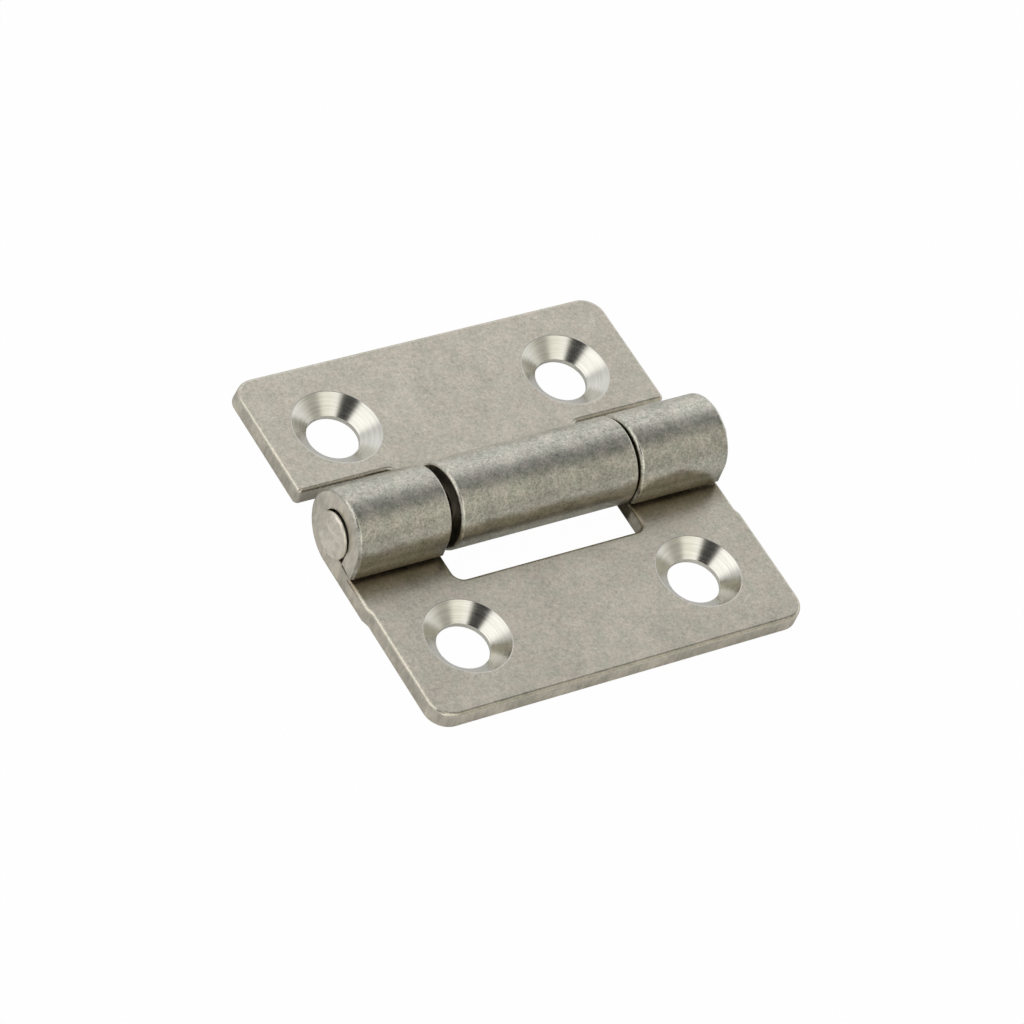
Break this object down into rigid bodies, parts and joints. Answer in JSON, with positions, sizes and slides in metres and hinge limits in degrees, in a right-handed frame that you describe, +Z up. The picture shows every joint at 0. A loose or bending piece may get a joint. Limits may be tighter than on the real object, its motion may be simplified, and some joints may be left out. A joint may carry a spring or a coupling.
{
  "type": "butt hinge",
  "caption": "Rolled sheet steel butt hinge: flat countersunk leaves, interleaved knuckles and a pin with upset ends, for a small door, lid or cabinet flap.",
  "frame": {"origin": "below the middle of the pin, on the plane that the undersides of both leaves rest on", "axes": "X along the pin, Y across the open hinge with the two-knuckle leaf at -Y, Z up from the screwed side to the barrel"},
  "size_m": [0.042, 0.04, 0.0082],
  "materials": {
    "sheet_steel": "tumbled, warm grey satin with a fine mottle",
    "pin_steel": "bright, drawn"
  },
  "bodies": {
    "front_leaf": {"front_leaf": "sheet_steel", "hinge_pin": "pin_steel"},
    "rear_leaf": {"rear_leaf": "sheet_steel"}
  },
  "joints": [
    {"name": "leaf_swing", "type": "hinge", "parent": "front_leaf", "child": "rear_leaf", "pos_m": [0, 0, 0.0041], "axis": [1, 0, 0], "range_deg": [-115, 190]}
  ]
}
